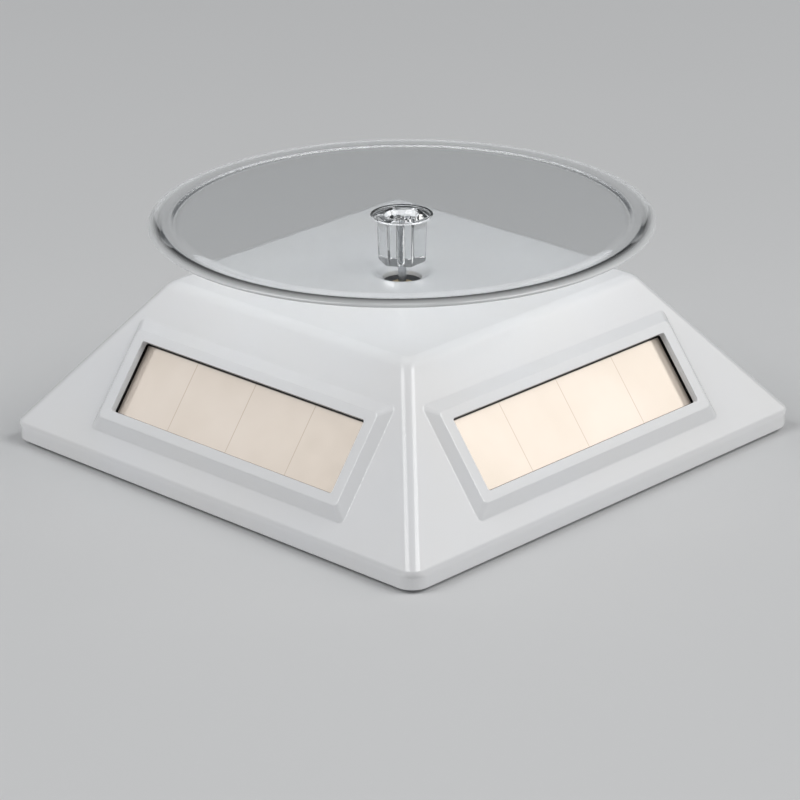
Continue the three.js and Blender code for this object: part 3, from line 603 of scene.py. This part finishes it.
def make_door():
    """The battery door: a slab with softened edges, finger grips and a tongue on each side."""
    low, high = box_mm("battery_door")
    centre, edge, tongue = middle(low, high), DOOR["edge"], DOOR["tongue"]
    face_low = Vector((low.x + edge, low.y + tongue + edge, low.z))
    face_high = Vector((high.x - edge, high.y - tongue - edge, low.z))
    skin = Skin()
    last = rim = door_face(skin, face_low, face_high, centre)
    for out, z in ((edge, low.z + edge), (edge, high.z - edge), (0, high.z)):
        grow = (1 + out / (face_high.x - centre[0]), 1 + out / (face_high.y - centre[1]))
        ring = skin.loop([(centre[0] + (skin.points[i].x - centre[0]) * grow[0],
                           centre[1] + (skin.points[i].y - centre[1]) * grow[1], z) for i in rim])
        skin.bridge(last, ring)
        last = ring
    skin.faces.append(tuple(last))
    size = (high.x - low.x - 2 * DOOR["tongue_inset"], tongue)
    for y in (low.y + tongue / 2, high.y - tongue / 2):
        heights = (high.z - DOOR["tongue_thick"], high.z)
        skin.tube([block_loop(size, 0.15, (centre[0], y), z) for z in heights])
    return skin.piece("door_moulded", crease=40)


def make_knob():
    """The switch knob: a stem with a softened tip on a flat slider."""
    low, high = box_mm("switch_knob")
    centre = middle(low, high)
    stem, slider = (2.0, 1.6), (high.x - low.x, high.y - low.y)
    shoulder = high.z - 1.7
    rows = [(stem, -0.5, 0), (stem, -0.15, 0.12), (stem, 0, 0.4), (stem, 0, shoulder - low.z),
            (slider, -0.2, shoulder - low.z), (slider, 0, shoulder - low.z + 0.15),
            (slider, 0, high.z - low.z - 0.15), (slider, -0.2, high.z - low.z)]
    skin = Skin()
    skin.tube([block_loop(tuple(length + 2 * inset for length in size), 0.25, centre, low.z + z)
               for size, inset, z in rows])
    return skin.piece("knob_moulded", crease=40)


# ---- Materials --------------------------------------------------------------------------------

class Finish:
    """A material on one Principled shader, with short calls for the maps that drive it."""

    def __init__(self, name, color, roughness, **values):
        self.material = bpy.data.materials.new(name)
        self.material.use_nodes = True
        self.nodes = self.material.node_tree.nodes
        self.links = self.material.node_tree.links
        self.shader = self.nodes["Principled BSDF"]
        self.set("Base Color", (*color, 1.0))
        self.set("Roughness", roughness)
        for key, value in values.items():
            self.set(key.replace("_", " "), value)
        self.place = self.nodes.new("ShaderNodeTexCoord").outputs["Object"]

    def set(self, socket, value):
        self.shader.inputs[socket].default_value = value

    def node(self, kind, inputs=None, **settings):
        made = self.nodes.new(kind)
        for key, value in settings.items():
            setattr(made, key, value)
        for key, value in (inputs or {}).items():
            if isinstance(value, bpy.types.NodeSocket):
                self.links.new(value, made.inputs[key])
            else:
                made.inputs[key].default_value = value
        return made

    def noise(self, scale, detail):
        made = self.node("ShaderNodeTexNoise", {"Vector": self.place, "Scale": scale, "Detail": detail})
        return made.outputs["Fac"]

    def remap(self, value, to_low, to_high, from_low=0.3, from_high=0.7):
        made = self.node("ShaderNodeMapRange", {
            "Value": value, "From Min": from_low, "From Max": from_high, "To Min": to_low, "To Max": to_high,
        })
        return made.outputs["Result"]

    def math(self, operation, first, second=0.0):
        return self.node("ShaderNodeMath", {0: first, 1: second}, operation=operation).outputs[0]

    def mix(self, factor, first, second):
        made = self.node("ShaderNodeMix", data_type="RGBA")
        for socket, value in ((made.inputs[6], first), (made.inputs[7], second)):
            if isinstance(value, bpy.types.NodeSocket):
                self.links.new(value, socket)
            else:
                socket.default_value = (*value, 1.0)
        self.links.new(factor, made.inputs[0])
        return made.outputs[2]

    def drive(self, socket, output):
        self.links.new(output, self.shader.inputs[socket])

    def bump(self, height, distance, strength=1.0):
        made = self.node("ShaderNodeBump", {"Height": height, "Distance": distance, "Strength": strength})
        self.links.new(made.outputs["Normal"], self.shader.inputs["Normal"])


def white_plastic(name, color, gloss, grain):
    """Moulded white plastic: a faint cloudiness in colour and gloss, and a fine moulded skin."""
    finish = Finish(name, color, gloss, IOR=1.5, Coat_Weight=0.35, Coat_Roughness=0.06, Coat_IOR=1.5)
    cloud = finish.noise(45, 4)
    warm = tuple(c * f for c, f in zip(color, (1.0, 0.992, 0.975)))
    finish.drive("Base Color", finish.mix(finish.remap(cloud, 0, 1), color, warm))
    finish.drive("Roughness", finish.remap(finish.noise(260, 5), gloss * 0.8, gloss * 1.25))
    finish.bump(finish.noise(grain, 3), 0.00002, 0.35)
    return finish.material


def clear_plastic(name, tint, roughness, rim):
    """Clear polished plastic that lets most of the lamps' light through to what is under it. The
    rim, given as the radii in millimetres where it starts and is complete, is clouded."""
    lamp_share = 0.84
    finish = Finish(name, tint, roughness, IOR=1.49, Transmission_Weight=1.0)
    finish.drive("Roughness", finish.remap(finish.noise(120, 4), roughness * 0.5, roughness * 1.6))
    level = finish.node("ShaderNodeVectorMath", {0: finish.place, 1: (1, 1, 0)}, operation="MULTIPLY")
    far = finish.node("ShaderNodeVectorMath", {0: level.outputs[0]}, operation="LENGTH").outputs["Value"]
    finish.drive("Transmission Weight", finish.remap(far, 1.0, 0.35, rim[0] * MM, rim[1] * MM))
    clear = finish.node("ShaderNodeBsdfTransparent", {"Color": (*(c * lamp_share for c in tint), 1.0)})
    path = finish.node("ShaderNodeLightPath")
    choice = finish.node("ShaderNodeMixShader", {
        0: path.outputs["Is Shadow Ray"], 1: finish.shader.outputs[0], 2: clear.outputs[0],
    })
    output = finish.nodes["Material Output"]
    finish.links.new(choice.outputs[0], output.inputs["Surface"])
    return finish.material


def solar_film_painted_reflection(name, side):
    """A film behind glass in four strips with fine dividing lines. Its pale, mirror-like cream colour is a
    painted reflection of the lamps on the dark cells. A dark band round its edge, which runs out under the
    window's frame and just inside the opening at top and bottom, is painted shade for the gap there."""
    # Pale cream tones, varied at random by noise, that paint the lamps' reflection on to the dark cells.
    film, warm = (0.80, 0.70, 0.60), (0.86, 0.76, 0.67)
    # The first colour is the cells' own dividing lines, darker than the painted reflection. The near-black
    # second colour paints the shade in the gap between the window's wall and the cell.
    line, gap_shade_color = (0.60, 0.51, 0.42), (0.012, 0.010, 0.008)
    finish = Finish(name, film, 0.16, Metallic=0.45, Coat_Weight=1.0, Coat_Roughness=0.03, Coat_IOR=1.52)
    square = finish.node("ShaderNodeVectorRotate", {"Vector": finish.place, "Angle": -side * math.pi / 2},
                         rotation_type="Z_AXIS")
    axes = finish.node("ShaderNodeSeparateXYZ", {0: square.outputs[0]}).outputs
    strip = CELL["size"][0] / 4 * MM
    across = finish.math("ABSOLUTE", axes["X"])
    stripe = finish.remap(finish.math("PINGPONG", across, strip / 2), 1.0, 0.0, 0.00004, 0.00012)
    middle = on_face(0, 0, WINDOW["v"], CELL["front"]).z * MM
    up = finish.math("ABSOLUTE", finish.math("SUBTRACT", axes["Z"], middle))
    # The painted gap shade covers the cell outside the opening and reaches 0.25 mm inside it at top and
    # bottom.
    half_wide = WINDOW["opening"][0] / 2 * MM
    half_high = (WINDOW["opening"][1] / 2 - 0.25) * math.sin(SLOPE) * MM
    edge = 0.00006
    outside = finish.math("MAXIMUM", finish.remap(across, 0, 1, half_wide - edge, half_wide + edge),
                          finish.remap(up, 0, 1, half_high - edge, half_high + edge))
    cloud = finish.mix(finish.remap(finish.noise(60, 3), 0, 1), film, warm)
    # Painted reflection colour with the cells' dividing lines, under the painted shade round the edge.
    finish.drive("Base Color", finish.mix(outside, finish.mix(stripe, cloud, line), gap_shade_color))
    finish.drive("Roughness", finish.remap(finish.noise(300, 3), 0.12, 0.2))
    finish.bump(finish.noise(18, 2), 0.00004, 0.3)
    return finish.material


def speckled(name, color, other, roughness, scale, bump=0.00002, **values):
    """A general fine-grained finish between two colours."""
    finish = Finish(name, color, roughness, **values)
    finish.drive("Base Color", finish.mix(finish.remap(finish.noise(scale, 5), 0, 1), color, other))
    finish.drive("Roughness", finish.remap(finish.noise(scale * 0.6, 4), roughness * 0.75, roughness * 1.3))
    finish.bump(finish.noise(scale * 2, 3), bump, 0.4)
    return finish.material


white_gloss = white_plastic("white_gloss_plastic", (0.80, 0.805, 0.82), 0.2, 900)
white_satin = white_plastic("white_satin_plastic", (0.78, 0.785, 0.80), 0.42, 2600)
clear_body = clear_plastic("clear_acrylic", (0.965, 0.975, 0.98), 0.015,
                           rim=(PLATE["flat_radius"], PLATE["radius"]))
rubber = speckled("foot_rubber", (0.02, 0.02, 0.021), (0.04, 0.04, 0.04), 0.8, 900, 0.00005)
steel = speckled("bright_steel", (0.55, 0.56, 0.58), (0.66, 0.67, 0.68), 0.25, 500, Metallic=1.0)
plated = speckled("plated_steel", (0.68, 0.69, 0.7), (0.78, 0.78, 0.78), 0.2, 400, Metallic=1.0)
brass = speckled("satin_brass", (0.58, 0.42, 0.17), (0.68, 0.5, 0.22), 0.28, 500, Metallic=1.0)
copper = speckled("enamelled_copper", (0.42, 0.15, 0.06), (0.55, 0.22, 0.09), 0.32, 900, Metallic=0.9)
ferrite = speckled("sintered_ferrite", (0.03, 0.03, 0.033), (0.055, 0.055, 0.06), 0.7, 1400, 0.00004)
black_plastic = speckled("black_moulding", (0.012, 0.012, 0.014), (0.022, 0.022, 0.024), 0.42, 1200, 0.00003)
board_green = speckled("solder_mask", (0.02, 0.12, 0.055), (0.03, 0.16, 0.075), 0.4, 700)
jacket = speckled("battery_jacket", (0.045, 0.06, 0.09), (0.06, 0.08, 0.115), 0.3, 300, Metallic=0.3)
vinyl = speckled("lead_vinyl", (0.35, 0.02, 0.015), (0.42, 0.035, 0.025), 0.45, 800)

NODE_LOOKS = {
    "base_plate": white_satin, "motor_screw": steel,
    "motor_case": black_plastic, "motor_cover": black_plastic,
    "lower_bush": brass, "upper_bush": brass, "lower_yoke": plated, "upper_yoke": plated,
    "magnet_ring": ferrite, "rotor_disc": black_plastic, "rotor_coil": copper, "commutator": brass,
    "brush_holder": black_plastic, "brush": brass, "battery_spring": plated, "negative_contact": plated,
    "positive_contact": plated, "battery": jacket, "switch_housing": plated,
    "switch_board": board_green, "circuit_board": board_green, "blocking_diode": black_plastic,
    "cell_lead": vinyl, "motor_lead": vinyl, "battery_lead": vinyl, "switch_lead": vinyl,
}


def dress_nodes():
    """Gives every CAD node that stays its finish, by the longest start of its name. A node that a
    piece replaces is hidden, so its finish doesn't matter."""
    for name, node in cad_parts.items():
        starts = [start for start in NODE_LOOKS if name.startswith(start)]
        if starts:
            for slot in node.material_slots:
                slot.material = NODE_LOOKS[max(starts, key=len)]


# ---- Putting the pieces in ---------------------------------------------------------------------

def place(piece, material, body, slot, *nodes):
    piece.data.materials.append(material)
    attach(piece, body)
    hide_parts(*nodes)


def make_pieces():
    place(make_shell(), white_gloss, "base", "white_gloss", "shell")
    place(make_plate(), clear_body, "turntable", "clear_plastic", "display_plate")
    place(make_hub(), clear_body, "turntable", "clear_plastic", "hub_socket")
    place(make_shaft(), steel, "rotor", "steel", "motor_shaft")
    place(make_door(), white_satin, "door", "white_satin", "battery_door")
    place(make_knob(), black_plastic, "knob", "black_plastic", "switch_knob")
    for number in range(1, 5):
        place(make_foot(f"foot_{number}"), rubber, "base", "foot_rubber", f"foot_{number}")
        place(make_screw(f"base_screw_{number}"), steel, "base", "steel", f"base_screw_{number}")
    for side, name in enumerate(SIDES):
        # Each cell's film carries a painted reflection of the lamps and painted shade along its edge.
        film = solar_film_painted_reflection(f"solar_film_painted_reflection_{name}", side)
        place(make_cell(side), film, "base", "solar_panel", f"solar_cell_{name}")


# ---- Camera, floor and light -------------------------------------------------------------------

CAMERA = {
    "azimuth": 45.986,            # degrees from the front towards the left side
    "elevation": 21.871,
    "roll": -0.575,
    "distance": 0.71225,
    "aim": (-0.000683, 0.007273),  # the point looked at: across the view and up, in metres
    "lens": 161.05,               # millimetres on a 36 mm sensor
}


def add_camera():
    data = bpy.data.cameras.new("camera")
    data.sensor_width = 36.0
    data.lens = CAMERA["lens"]
    camera = bpy.data.objects.new("camera", data)
    bpy.context.scene.collection.objects.link(camera)
    azimuth, elevation, roll = (math.radians(CAMERA[key]) for key in ("azimuth", "elevation", "roll"))
    tilt = Matrix.Rotation(math.pi / 2 - elevation, 4, "X") @ Matrix.Rotation(roll, 4, "Z")
    across, up = CAMERA["aim"]
    back = Vector((0, -math.cos(elevation), math.sin(elevation))) * CAMERA["distance"]
    stand_off = Matrix.Translation(back + Vector((across, 0, up)))
    camera.matrix_world = Matrix.Rotation(-azimuth, 4, "Z") @ stand_off @ tilt
    bpy.context.scene.camera = camera


def add_floor():
    """A plain pale floor."""
    mesh = bpy.data.meshes.new("floor")
    half = 4.0
    corners = [(-half, -half, 0), (half, -half, 0), (half, half, 0), (-half, half, 0)]
    mesh.from_pydata(corners, [], [(0, 1, 2, 3)])
    floor = bpy.data.objects.new("floor", mesh)
    bpy.context.scene.collection.objects.link(floor)
    finish = Finish("floor_paint", (0.68, 0.683, 0.686), 0.55)
    finish.drive("Roughness", finish.remap(finish.noise(3, 3), 0.5, 0.62))
    mesh.materials.append(finish.material)


def add_lamp(name, direction, distance, size, power, color=(1, 1, 1)):
    """A soft square lamp that faces the middle of the stand."""
    data = bpy.data.lights.new(name, "AREA")
    data.shape = "RECTANGLE"
    data.size, data.size_y = size
    data.energy = power
    data.color = color
    lamp = bpy.data.objects.new(name, data)
    bpy.context.scene.collection.objects.link(lamp)
    away = Vector(direction).normalized()
    lamp.location = away * distance + Vector((0, 0, 0.02))
    lamp.rotation_mode = "QUATERNION"
    lamp.rotation_quaternion = away.to_track_quat("Z", "Y")


def add_light():
    world = bpy.data.worlds.new("studio")
    bpy.context.scene.world = world
    world.use_nodes = True
    background = world.node_tree.nodes["Background"]
    background.inputs["Color"].default_value = (0.9, 0.95, 1.0, 1.0)
    background.inputs["Strength"].default_value = 0.14
    add_lamp("left", (-0.66, 0.24, 0.72), 2.2, (1.3, 1.3), 19.5)
    add_lamp("right", (0.24, -0.66, 0.72), 2.2, (1.3, 1.3), 23)
    add_lamp("right_card", (0.67, -0.53, 0.52), 1.2, (0.8, 0.5), 1.8, (1.0, 0.98, 0.95))
    add_lamp("left_card", (-0.54, 0.64, 0.54), 1.2, (0.8, 0.5), 1.0)
    bpy.context.scene.view_settings.view_transform = "Standard"


add_camera()
add_floor()
add_light()
dress_nodes()
make_pieces()
